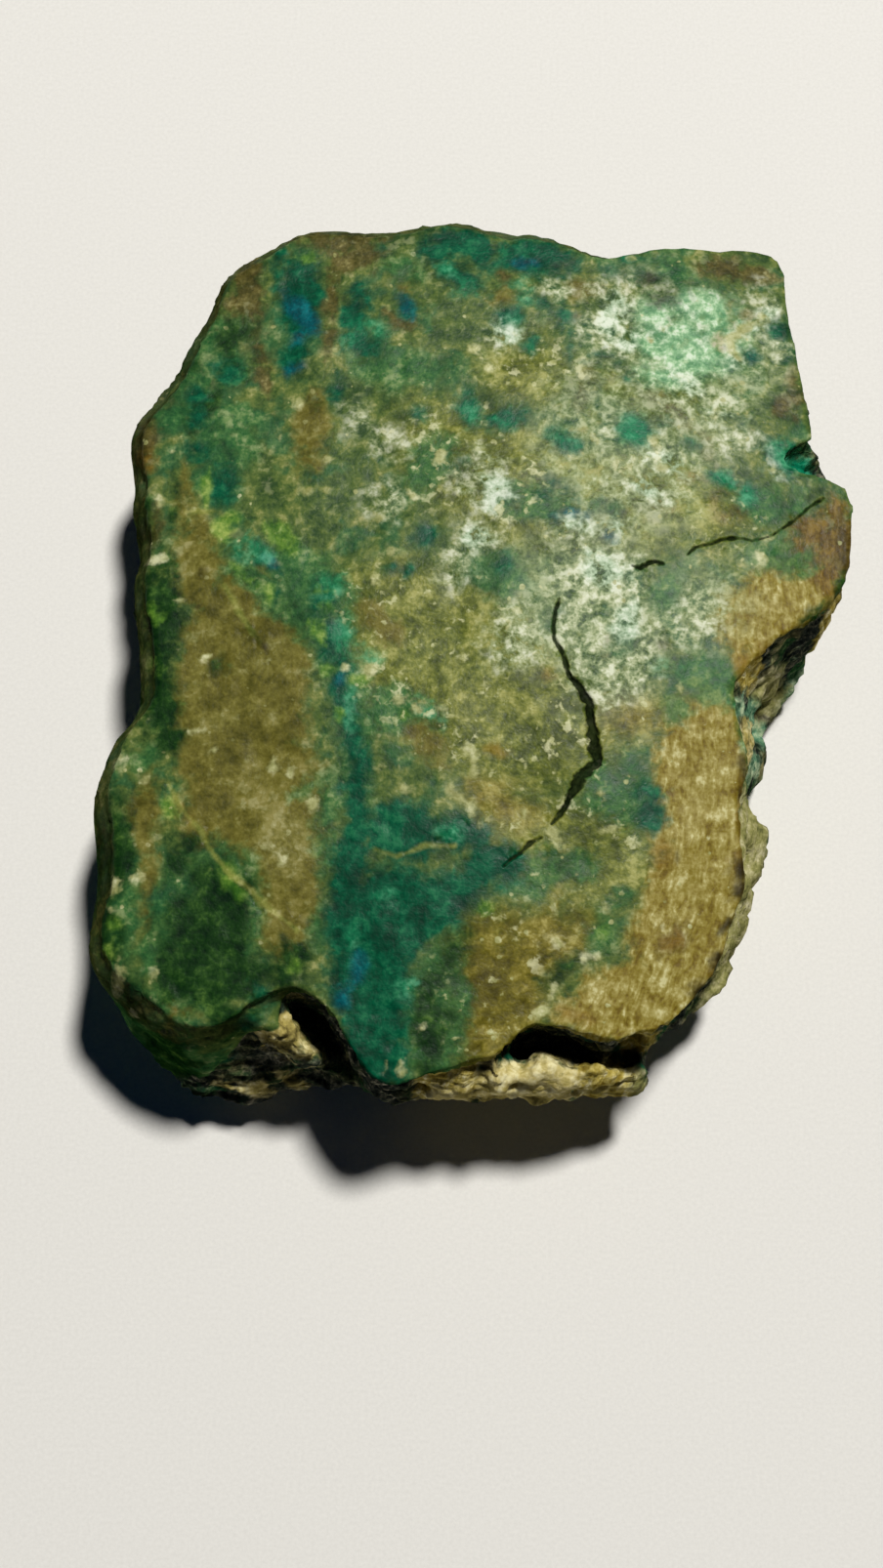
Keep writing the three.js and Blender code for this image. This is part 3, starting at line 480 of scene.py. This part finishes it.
def refine(wanted):
    """Halves the edges whose two ends are wanted."""
    work = bmesh.new()
    work.from_mesh(rock)
    edges = [edge for edge in work.edges if all(wanted[end.index] for end in edge.verts)]
    bmesh.ops.subdivide_edges(work, edges=edges, cuts=1, use_grid_fill=True)
    work.to_mesh(rock)
    work.free()


# The cracks closed over, the whole evened out, and the worn face laid on its dome
places = read_rows("co") / MM
top = face_height(places[:, 0], places[:, 1])
for line in cracks:
    over = (from_lines(places[:, :2], line)[0] < cut_half) & (places[:, 2] > top - cut_depth)
    places[over, 2] = top[over]
edges = np.empty(len(rock.edges) * 2, int)
rock.edges.foreach_get("vertices", edges)
edges = edges.reshape(-1, 2)
neighbours = np.bincount(edges.ravel(), minlength=len(places))[:, None]
for _ in range(smoothing_rounds):
    total = np.zeros_like(places)
    for axis in range(3):
        for here, there in ((0, 1), (1, 0)):
            total[:, axis] += np.bincount(edges[:, here], places[edges[:, there], axis], len(places))
    places = (places + total / neighbours) / 2
depth = swollen_face(places) - places[:, 2]
places[:, 2] += (1 - ramp(np.abs(depth), *laid_on)) * depth
write_places(places)

# A finer mesh along the cracks and the thin veins, and once over the broken front
fine_lines = cracks + [line for _, line in veins["frost"] + veins["cream"] + veins["thread"]]
for lines, reach, front_too in ((fine_lines, 1.7, True), (fine_lines, 1, False), (cracks, 0.45, False)):
    places = read_rows("co") / MM
    near = np.zeros(len(places), bool)
    for line in lines:
        near |= from_lines(places[:, :2], line)[0] < reach
    near &= places[:, 2] > low_side
    if front_too:
        near |= (places[:, 1] < front_y) & (places[:, 2] > front_foot)
    refine(near)
places = read_rows("co") / MM
depth = swollen_face(places) - places[:, 2]

# How worn the rim is all round, and how broken each point is
turn = np.degrees(np.arctan2(places[:, 1] - heart[1], places[:, 0] - heart[0])) % 360
worn = between(turn, worn_span, worn_ends)
lobes = between(turn, lobe_span, lobe_ends)
wear = worn_down * worn + lobes_down * lobes
uneven_depth = depth + 0.5 * unevenness(places, 4, 2, 7)
broken = ramp(uneven_depth, crisp_rim[0] + wear, crisp_rim[1] + 1.3 * wear)

# Cracks: V-shaped grooves with wandering sides, no deeper where the solid is already cut
cleft = np.full(len(places), -field_reach)
sunk = np.zeros(len(places))
wander = 0.5 * unevenness(places * (1, 1, 0), 0.8, 3, 3)
for line in cracks:
    away, along = from_lines(places[:, :2], line)
    half = np.interp(along, range(len(line)), [place[2] for place in line])
    cleft = np.maximum(cleft, half * (1 + wander) - away)
    groove = 1 - ramp(away - half * wander, 0.2 * half, 1.1 * half + 0.06)
    sunk = np.maximum(sunk, np.minimum(half / full_half, 1) * groove)
already = ramp(depth, 0.5, 1.3)
open_face = (places[:, 2] > open_above) & (depth < 3)
cleft[~open_face] = -field_reach

# Breakage of the sides in slanting layers, rubble and blocks, with chips along the rim, and on the worn
# face a faint grain and small pits. The resting patch below stays flat
outward = read_rows("normal")
slant = (0, 0, 1) * (0.16 * places[:, :1] + 1.6 * unevenness(places, 8, 1, 2)[:, None])
layers = 1 - 2 * np.abs(unevenness(places + slant, layer_size, 3, 5))
rubble = unevenness(places, rubble_size, 3, 11)
blocks = unevenness(places, block_size, 2, 21)
chips = np.abs(unevenness(places, chip_size, 3, 31))
rim = ramp(depth, -0.2, 0.5) * (1 - ramp(depth, 1.2 + 2 * worn, 2.6 + 3 * worn))
rim *= ramp(1 - outward[:, 2], 0.05, 0.4)
pits = ramp(unevenness(places, pit_size, 2, 41), 0.38, 0.7)
push = broken * (layer_height * layers + rubble_height * rubble + block_height * blocks - set_back)
push -= rim * chip_depth * chips
push += (1 - broken) * (grain_height * unevenness(places, grain_size, 3, 51) - pit_depth * pits)
resting = (places[:, 2] < grid) & (outward[:, 2] < -0.7)
push[resting] = 0
places += outward * np.clip(push, *outward_limits)[:, None]

# The floor of the notch and the cracks, and all kept inside the solid's box
from_notch = np.hypot(places[:, 0] - notch[0], places[:, 1] - notch[1])
slope = notch_slope * ramp(depth, 0.8, 3.6) * (1 - ramp(from_notch, *notch_reach))
places[:, 0] += slope * ramp(places[:, 2], 1, 6)
places[:, 2] -= crack_depth * sunk * (1 - already) * open_face
places[resting & (places[:, 2] < 0.5), 2] = 0
low, high = (np.array(corner) / MM for corner in cad_box)
places = np.clip(places, low, high)
write_places(places)
rock.polygons.foreach_set("use_smooth", np.ones(len(rock.polygons), bool))
steep = ramp(1 - read_rows("normal")[:, 2], 0.1, 0.45)

# Each mineral's own field on the mesh: how far inside it a point lies, in millimetres. The minerals go
# down through the stone, wandering and drifting sideways, so the sides show them too
wandering = np.stack([unevenness(places, 5, 2, 61), unevenness(places, 5, 2, 71)], axis=1)
low_down = (ramp(depth, 2, 16) * (1 - 0.8 * lobes))[:, None]
seen = places[:, :2] + 0.5 * wandering + low_down * (5 * wandering + foot_drift)
on_side = places[:, :2] + 0.4 * wandering


def keep_field(name, values):
    """Keeps one value for each point on the mesh, for the material."""
    field = rock.attributes.new(name, "FLOAT", "POINT")
    field.data.foreach_set("value", np.clip(values, -field_reach, field_reach))


def keep_mineral(name, points, spots, lines):
    """Keeps how far inside a mineral's patches or veins each point lies."""
    inside = np.full(len(points), -field_reach)
    for patch in spots:
        inside = np.maximum(inside, inside_patch(points, patch))
    for half, line in lines:
        inside = np.maximum(inside, half - from_lines(points, line)[0])
    keep_field(name, inside)


for name in patches | veins:
    keep_mineral(name, seen, patches.get(name, []), veins.get(name, []))
for name, spots in side_patches.items():
    keep_mineral(name, on_side, spots, [])
keep_field("broken", broken)
keep_field("steep", steep)
keep_field("crack", cleft)
keep_field("rim", rim * (0.35 + 0.65 * worn))


class Signal:
    """A socket of a material. An expression on signals and numbers adds its Math nodes."""

    def __init__(self, tree, socket):
        self.tree = tree
        self.socket = socket

    def node(self, kind, settings, sockets, out=0):
        """Adds a node, sets its settings, then the values or links of its sockets."""
        made = self.tree.nodes.new(kind)
        for name, value in settings.items():
            if name == "stops":
                stops = made.color_ramp.elements
                while len(stops) < len(value):
                    stops.new(1)
                for stop, (at, colour) in zip(stops, value):
                    stop.position = at
                    stop.color = colour
            else:
                setattr(made, name, value)
        for key, value in sockets.items():
            if isinstance(value, Signal):
                self.tree.links.new(value.socket, made.inputs[key])
            else:
                made.inputs[key].default_value = value
        return Signal(self.tree, made.outputs[out] if made.outputs else None)

    def maths(self, operation, first, second):
        return self.node("ShaderNodeMath", {"operation": operation}, {0: first, 1: second})

    def __add__(self, other):
        return self.maths("ADD", self, other)

    def __radd__(self, other):
        return self.maths("ADD", other, self)

    def __sub__(self, other):
        return self.maths("SUBTRACT", self, other)

    def __rsub__(self, other):
        return self.maths("SUBTRACT", other, self)

    def __mul__(self, other):
        return self.maths("MULTIPLY", self, other)

    def __rmul__(self, other):
        return self.maths("MULTIPLY", other, self)

    def step(self, low, high):
        """0 below low and 1 above high, with soft ends."""
        settings = {"interpolation_type": "SMOOTHSTEP"}
        return self.node("ShaderNodeMapRange", settings, {0: self, 1: low, 2: high})

    def swing(self, reach):
        """A value of 0 to 1 turned into one that swings about 0, from minus to plus half the reach."""
        return (self - 0.5) * reach

    def blend(self, other, share):
        """This colour, going over to another one where the share is 1."""
        return self.node("ShaderNodeMix", {"data_type": "RGBA"}, {0: share, 6: self, 7: other}, 2)

    def scaled(self, amount):
        """This colour or vector times a number."""
        return self.node("ShaderNodeVectorMath", {"operation": "SCALE"}, {0: self, 3: amount})

    def shifted(self, other):
        """This vector plus another one."""
        return self.node("ShaderNodeVectorMath", {"operation": "ADD"}, {0: self, 1: other})

    def stretched(self, factors):
        """This vector times one factor for each axis."""
        return self.node("ShaderNodeVectorMath", {"operation": "MULTIPLY"}, {0: self, 1: factors})

    def mottle(self, size, detail=2, rough=0.5, swirl=0, colour=False):
        """Noise at these millimetres, with bumps of a given size: one value, or three as a colour."""
        sockets = {
            "Vector": self, "Scale": 1 / size, "Detail": detail, "Roughness": rough, "Distortion": swirl,
        }
        return self.node("ShaderNodeTexNoise", {}, sockets, 1 if colour else 0)

    def channel(self, index):
        """One of the three values of a colour."""
        return self.node("ShaderNodeSeparateColor", {}, {0: self}, index)


def paint(code):
    """A colour written as in #RRGGBB, in the linear light that the shader takes."""
    parts = [int(code[n:n + 2], 16) / 255 for n in (1, 3, 5)]
    return [part / 12.92 if part <= 0.04045 else ((part + 0.055) / 1.055) ** 2.4 for part in parts] + [1]


ore = bpy.data.materials.new("malachite_ore")
ore.use_nodes = True
tree = ore.node_tree
tree.nodes.clear()
spot_on = Signal(tree, tree.nodes.new("ShaderNodeTexCoord").outputs["Object"]).scaled(1 / MM)


def field(name):
    """What the mesh keeps under this name."""
    return spot_on.node("ShaderNodeAttribute", {"attribute_name": name}, {}, "Fac")


def palette(value, *stops):
    """The colours of a mineral, from its dark parts to its pale ones."""
    stops = [(at, paint(code)) for at, code in stops]
    return value.node("ShaderNodeValToRGB", {"stops": stops}, {0: value})


# Unevenness of the minerals at four sizes, the first three as three values each
coarse = spot_on.mottle(6, 2, 0.5, 0.2, True)
middle = spot_on.mottle(2, 2, 0.5, 0.3, True)
small = spot_on.mottle(0.8, 2, 0.55, 0.2, True)
grain = spot_on.mottle(0.3, 1)
coarse_a, coarse_b, coarse_c = (coarse.channel(n) for n in range(3))
middle_a, middle_b, middle_c = (middle.channel(n) for n in range(3))
small_a, small_b, small_c = (small.channel(n) for n in range(3))
fine = grain.swing(0.4) + 0.5


def ragged(larger, smaller):
    """How far a mineral's edge wanders out, in millimetres."""
    return larger.swing(3.6) + smaller.swing(1.8)


def tone(largest, larger, smaller):
    """How light a mineral is from place to place, 0.5 on the whole."""
    return largest.swing(0.8) + larger.swing(1.1) + smaller.swing(0.9) + fine


ragged_a = ragged(middle_a, small_a)
ragged_b = ragged(middle_b, small_b)
ragged_c = ragged(middle_c, small_c)
tone_a = tone(coarse_b, middle_a, small_b)
tone_b = tone(coarse_c, middle_b, small_c)
tone_c = tone(coarse_a, middle_c, small_a)


def mineral(name, edge, soft=0.5, least=0):
    """Where a mineral shows: 1 inside its patches, with an uneven, soft edge."""
    return (field(name) + edge).step(least - soft, least + soft)


# The grey-green ground that the minerals lie in, greener in places, and olive in the middle of the face
ground = palette(tone_a, (0.2, "#2d4722"), (0.5, "#516630"), (0.7, "#727d40"), (0.9, "#9c9c62"))
greener = palette(tone_b, (0.25, "#13472c"), (0.55, "#2a603a"), (0.85, "#5c8450"))
ground = ground.blend(greener, (coarse_b + middle_c.swing(0.6)).step(0.5, 0.64) * 0.7)
in_olive = mineral("olive", ragged_c, 2)
olive = palette(tone_c, (0.2, "#39420f"), (0.45, "#5b6320"), (0.65, "#7f8338"), (0.85, "#aaa860"))
ground = ground.blend(olive, in_olive * 0.85)

# Tan and amber rock
tan = palette(tone_b, (0.15, "#454214"), (0.45, "#615b21"), (0.65, "#746e2f"), (0.88, "#8b8347"))
in_tan = mineral("tan", ragged_a, 0.9)
surface = ground.blend(tan, in_tan * 0.94)
amber = palette(tone_a, (0.15, "#433c0e"), (0.45, "#625a18"), (0.65, "#7d7228"), (0.88, "#a59a52"))
surface = surface.blend(amber, mineral("amber", ragged_c, 1.8) * 0.94)

# The golden rock at the right. Its pale fibres run along y and bend over to the left below fibre_foot
fibre_size = 0.5
fibre_stretch = 0.3
fibre_foot = -12
fibre_bend = 0.008
along_x = spot_on.node("ShaderNodeSeparateXYZ", {}, {0: spot_on}, 0)
along_y = spot_on.node("ShaderNodeSeparateXYZ", {}, {0: spot_on}, 1)
below = spot_on.maths("MINIMUM", along_y - fibre_foot, 0)
unbent = {0: along_x + below * below * fibre_bend, 1: along_y * fibre_stretch}
along_fibres = spot_on.node("ShaderNodeCombineXYZ", {}, unbent)
fibres = along_fibres.shifted(middle.scaled(0.9)).mottle(fibre_size, 2, 0.55)
gold_tone = fibres.swing(1.1) + middle_c.swing(0.9) + small_a.swing(0.8) + fine
gold = palette(gold_tone, (0.15, "#675515"), (0.4, "#83742a"), (0.55, "#938641"), (0.7, "#a89d5c"),
               (0.88, "#c9c38c"))
in_gold = mineral("gold", ragged_b, 0.8)
surface = surface.blend(gold, in_gold)

# Rust and brown stains
rust = palette(gold_tone, (0.2, "#45320a"), (0.5, "#604a12"), (0.75, "#7e6626"))
surface = surface.blend(rust, mineral("rust", ragged_a, 0.9) * 0.95)
brown = palette(tone_c, (0.2, "#2c260d"), (0.5, "#4a411b"), (0.75, "#685d30"), (0.92, "#8e8452"))
surface = surface.blend(brown, mineral("brown", ragged_c, 0.8) * 0.85)

# A thin haze of painted sheen, thicker pale bloom that is partly a real coating and partly painted sheen,
# and the mint-green patch over the face, all in soft pale grains
grains = small_c.swing(1.6) + grain.swing(0.5) + middle_a.swing(1.2) + 0.5
bloom = palette(grains, (0.2, "#5f7446"), (0.45, "#8b9a6c"), (0.62, "#b4bc92"), (0.85, "#dfe3c8"))
in_bloom_and_sheen = mineral("bloom", ragged_c * 1.4, 1.9)
mint = palette(grains, (0.2, "#5a9062"), (0.45, "#80b080"), (0.62, "#a5cb9d"), (0.85, "#d8ead0"))
in_mint = mineral("mint", ragged_b * 0.8, 1.2)
haze = palette(grains, (0.2, "#728a54"), (0.5, "#96a874"), (0.8, "#c3cda2"))
surface = surface.blend(haze, mineral("haze", ragged_b, 3) * grains.step(0, 0.8) * 0.6)
surface = surface.blend(bloom, in_bloom_and_sheen * grains.step(0.1, 0.6) * 0.9)
surface = surface.blend(mint, in_mint * 0.9)

# Malachite greens, from the ordinary to the darkest
green = palette(tone_b, (0.15, "#0c3a20"), (0.45, "#23552c"), (0.65, "#3b6c38"), (0.9, "#708e54"))
surface = surface.blend(green, mineral("green", ragged_b, 0.9) * 0.85)
dark = palette(tone_a, (0.15, "#06200c"), (0.5, "#163612"), (0.7, "#294a1c"), (0.92, "#4b6b2c"))
in_dark = mineral("dark", ragged_c, 0.9)
surface = surface.blend(dark, in_dark)

# Chrysocolla: teal, with blue hearts and paler aqua spots
teal = palette(tone_a, (0.15, "#00301f"), (0.45, "#00442c"), (0.65, "#055538"), (0.85, "#1f6c46"))
in_teal = mineral("teal", ragged_a * 0.8, 0.8)
surface = surface.blend(teal, in_teal)
blue = palette(tone_c, (0.2, "#00323a"), (0.5, "#004d56"), (0.8, "#087076"))
surface = surface.blend(blue, mineral("blue", ragged_b * 0.5, 0.6) * 0.9)
aqua = palette(tone_b, (0.2, "#075f3e"), (0.5, "#1b8456"), (0.8, "#5ab082"))
surface = surface.blend(aqua, mineral("aqua", ragged_c * 0.7, 0.9) * 0.75)

# White frost where the bloom is thickest: partly a real white coating, partly a painted highlight of the
# sheen
frost = palette(grains, (0.2, "#84a07e"), (0.5, "#b0c6a6"), (0.8, "#dee8d4"))
surface = surface.blend(frost, mineral("frost", ragged_c, 0.9) * grains.step(0.1, 0.5) * 0.85)

# Lime specks, ochre stains, cream flecks, mostly where the ground is olive, cream crumbs, specks and
# veins, thin threads, dark spots, and the dark of the cracks: their dark green filling with painted shade
crumb_size = 1.5
cream = palette(tone_b, (0.2, "#8a8c50"), (0.55, "#b0b27a"), (0.85, "#d8d8ac"))
in_cream = mineral("cream", ragged_a * 0.6, 0.35, 0.12)
lime = palette(tone_a, (0.2, "#34621a"), (0.55, "#628a2e"), (0.9, "#a2b658"))
surface = surface.blend(lime, mineral("lime", ragged_b * 0.5, 0.5) * 0.8)
ochre = palette(tone_c, (0.2, "#5a430d"), (0.6, "#8a691c"))
surface = surface.blend(ochre, mineral("ochre", ragged_c * 0.6, 0.7) * 0.6)
flecks = small_b.swing(1.4) + middle_b.swing(0.9) + coarse_c.swing(0.6) + 0.5
flecks = flecks.step(0.64, 0.86) * (in_olive * 0.8 + 0.2) * (1 - in_gold) * (1 - in_teal) * (1 - in_dark)
surface = surface.blend(cream, flecks * 0.7)
cells = {"Vector": spot_on.shifted(small.scaled(0.5)), "Scale": 1 / crumb_size, "Randomness": 1}
from_crumb = spot_on.node("ShaderNodeTexVoronoi", {}, cells, 0)
crumbs = (0.1 + middle_a.swing(0.7) - from_crumb).step(0, 0.08) * (1 - in_teal) * (1 - in_dark)
surface = surface.blend(cream, crumbs * (0.75 - in_tan * 0.4))
surface = surface.blend(cream, in_cream * 0.9)
thread = palette(tone_b, (0.2, "#5d6a26"), (0.6, "#8d9145"), (0.9, "#c2c07c"))
surface = surface.blend(thread, mineral("thread", ragged_a * 0.2, 0.25) * 0.75)
surface = surface.blend(paint("#1c1608"), mineral("spot", ragged_b * 0.25, 0.4) * 0.85)
# The cracks' near-black is partly their dark green filling and partly painted shade in the grooves
in_crack = mineral("crack", small_a.swing(0.5), 0.12)
surface = surface.blend(palette(tone_c, (0.3, "#081008"), (0.7, "#1d2814")), in_crack * 0.95)

# A dark brown skin on the worn rim
skin = palette(tone_c, (0.2, "#191a0c"), (0.6, "#35351a"), (0.9, "#625c30"))
surface = surface.blend(skin, (field("rim") + middle_a.swing(1.4)).step(0.35, 0.85) * 0.6)

# The broken sides: dark grey rock in thin level sheets, with olive, green and teal in bands, and mossy,
# emerald, golden, straw-coloured and pale patches, with black painted shade in the slot, pits and recesses
sheet_size = 0.8
level = (0.12, 0.12, 1)
sheets = spot_on.shifted(coarse.scaled(3)).stretched(level).mottle(sheet_size, 4, 0.65)
side_tone = sheets.swing(1.5) + small_a.swing(0.9) + grain.swing(0.7) + 0.5
side = palette(side_tone, (0.2, "#141a18"), (0.42, "#2b312c"), (0.56, "#484a40"), (0.7, "#73725f"),
               (0.88, "#b0ab94"))
old_side = palette(tone_c, (0.2, "#132015"), (0.45, "#2d3a24"), (0.62, "#4c5034"), (0.85, "#8c875c"))
side = side.blend(old_side, (coarse_a * 0.7 + sheets * 0.5).step(0.52, 0.72))
side = side.blend(green, (coarse_b * 0.8 + sheets * 0.5).step(0.66, 0.82) * 0.8)
side = side.blend(teal, (coarse_c * 0.9 + middle_a * 0.3).step(0.68, 0.78) * 0.7)
mossy = palette(tone_a, (0.2, "#285840"), (0.5, "#64896a"), (0.8, "#b8c8a0"))
side = side.blend(mossy, mineral("mossy", ragged_a, 0.6))
emerald = palette(tone_b, (0.2, "#02402c"), (0.5, "#0d7654"), (0.8, "#4aaf88"))
side = side.blend(emerald, mineral("emerald", ragged_c * 0.8, 0.6))
golden = palette(gold_tone, (0.15, "#7d6a26"), (0.4, "#a39244"), (0.6, "#bdae66"), (0.85, "#e0d7a6"))
side = side.blend(golden, mineral("golden", ragged_b * 0.8, 0.5))
meadow = palette(tone_c, (0.15, "#66683a"), (0.45, "#918f56"), (0.65, "#ada877"), (0.88, "#d1cba2"))
side = side.blend(meadow, mineral("meadow", ragged_a * 0.8, 0.8))
pale = palette(tone_b, (0.12, "#6f6436"), (0.4, "#a69855"), (0.6, "#c4b678"), (0.85, "#e4dba8"))
in_pale = mineral("pale", ragged_c * 0.8, 0.5)
side = side.blend(pale, in_pale)
# Black painted shade in the slot, the pits and the recesses
side = side.blend(paint("#080a07"), mineral("black", ragged_a * 0.3, 0.4) * 0.9)
in_side = (field("broken") + small_a.swing(0.5)).step(0.3, 0.6)
surface = surface.blend(side, in_side)

# Relief too fine for the mesh, in millimetres
relief = small_b.swing(0.06) + grain.swing(0.03) + in_cream * 0.05 + flecks * 0.02
relief = relief + in_gold * (fibres - 0.5) * 0.1 + (in_bloom_and_sheen + in_mint) * (grains - 0.5) * 0.04
relief = relief + in_side * (1 - in_pale * 0.6) * (sheets.swing(0.5) + small_c.swing(0.25))
bumped = relief.node("ShaderNodeBump", {}, {"Strength": 0.8, "Distance": MM, "Height": relief})

# A faint satin gloss on the worn face, and none on its edges, the broken sides and the cracks
face_gloss = 0.09
face_roughness = 0.42
side_roughness = 0.78
roughness = face_roughness + small_c.swing(0.3) + in_gold * 0.06
roughness = roughness + in_side * (side_roughness - roughness)
finish = {"Base Color": surface, "Roughness": roughness, "Normal": bumped, "Specular IOR Level": face_gloss}
polished = surface.node("ShaderNodeBsdfPrincipled", {}, finish)
unpolished = surface.node("ShaderNodeBsdfPrincipled", {}, finish | {"Specular IOR Level": 0})
dulled = surface.maths("MAXIMUM", surface.maths("MAXIMUM", field("steep"), in_side), in_crack)
shader = surface.node("ShaderNodeMixShader", {}, {0: dulled, 1: polished, 2: unpolished})
surface.node("ShaderNodeOutputMaterial", {}, {"Surface": shader})
rock.materials.clear()
rock.materials.append(ore)

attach(stone, "root")
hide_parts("stone")


# The floor
# A plain sheet of matt paper, pale and faintly warm, that the stone lies on. Half its side and the size
# of its tooth are in metres and in millimetres.
floor_half = 1.5
tooth_size = 0.35
floor_mesh = bpy.data.meshes.new("paper")
corners = [(-1, -1), (1, -1), (1, 1), (-1, 1)]
floor_mesh.from_pydata([(x * floor_half, y * floor_half, 0) for x, y in corners], [], [(0, 1, 2, 3)])
floor = bpy.data.objects.new("paper", floor_mesh)
bpy.context.scene.collection.objects.link(floor)
paper = bpy.data.materials.new("paper")
paper.use_nodes = True
paper_shader = paper.node_tree.nodes["Principled BSDF"]
on_paper = Signal(paper.node_tree, paper.node_tree.nodes.new("ShaderNodeTexCoord").outputs["Object"])
tooth = on_paper.scaled(1 / MM).mottle(tooth_size, 3, 0.6)
paper_colour = palette(tooth, (0.2, "#e2e0da"), (0.8, "#eeece6"))
paper.node_tree.links.new(paper_colour.socket, paper_shader.inputs["Base Color"])
paper_shader.inputs["Roughness"].default_value = 0.9
paper_shader.inputs["Specular IOR Level"].default_value = 0.1
floor_mesh.materials.append(paper)


# The light
# A soft lamp high behind the right side, which throws the shadow to the front left, a small weak one
# low in front, which brings out the broken walls, and a dim, bluish room.

# The way from the stone to each lamp, how far away and how wide it is in metres, and its watts
lamps = {
    "lamp": {"way": (0.2, 0.35, 0.87), "away": 1.6, "size": 0.21, "energy": 28, "colour": (1, 0.985, 0.955)},
    "fill": {"way": (-0.45, -0.88, 0.16), "away": 0.9, "size": 0.2, "energy": 0.05, "colour": (0.6, 0.82, 1)},
}
room_colour = (0.07, 0.25, 1, 1)
room_strength = 0.012
for name, made_as in lamps.items():
    lamp_data = bpy.data.lights.new(name, "AREA")
    lamp_data.shape = "DISK"
    lamp_data.color = made_as["colour"]
    lamp_data.size = made_as["size"]
    lamp_data.energy = made_as["energy"]
    lamp = bpy.data.objects.new(name, lamp_data)
    lamp.location = Vector(made_as["way"]).normalized() * made_as["away"]
    lamp.rotation_euler = lamp.location.to_track_quat("Z", "Y").to_euler()
    bpy.context.scene.collection.objects.link(lamp)
room = bpy.data.worlds.new("room")
room.use_nodes = True
room.node_tree.nodes["Background"].inputs["Color"].default_value = room_colour
room.node_tree.nodes["Background"].inputs["Strength"].default_value = room_strength
bpy.context.scene.world = room
bpy.context.scene.view_settings.view_transform = "Standard"


# The camera
# It looks down on the worn face from near by, tipped a little so that the front ledge shows. What it
# looks at is a little in front of the stone's middle, and its distance from there is in metres.
look_at = np.array((-3.58, -14.49, 18)) * MM
camera_away = 0.2
tip = math.radians(12)
camera_data = bpy.data.cameras.new("camera")
camera_data.lens = 50
camera_data.clip_start = 0.01
camera = bpy.data.objects.new("camera", camera_data)
camera.location = look_at + camera_away * np.array((0, -math.sin(tip), math.cos(tip)))
camera.rotation_euler = (tip, 0, 0)
bpy.context.scene.collection.objects.link(camera)
bpy.context.scene.camera = camera
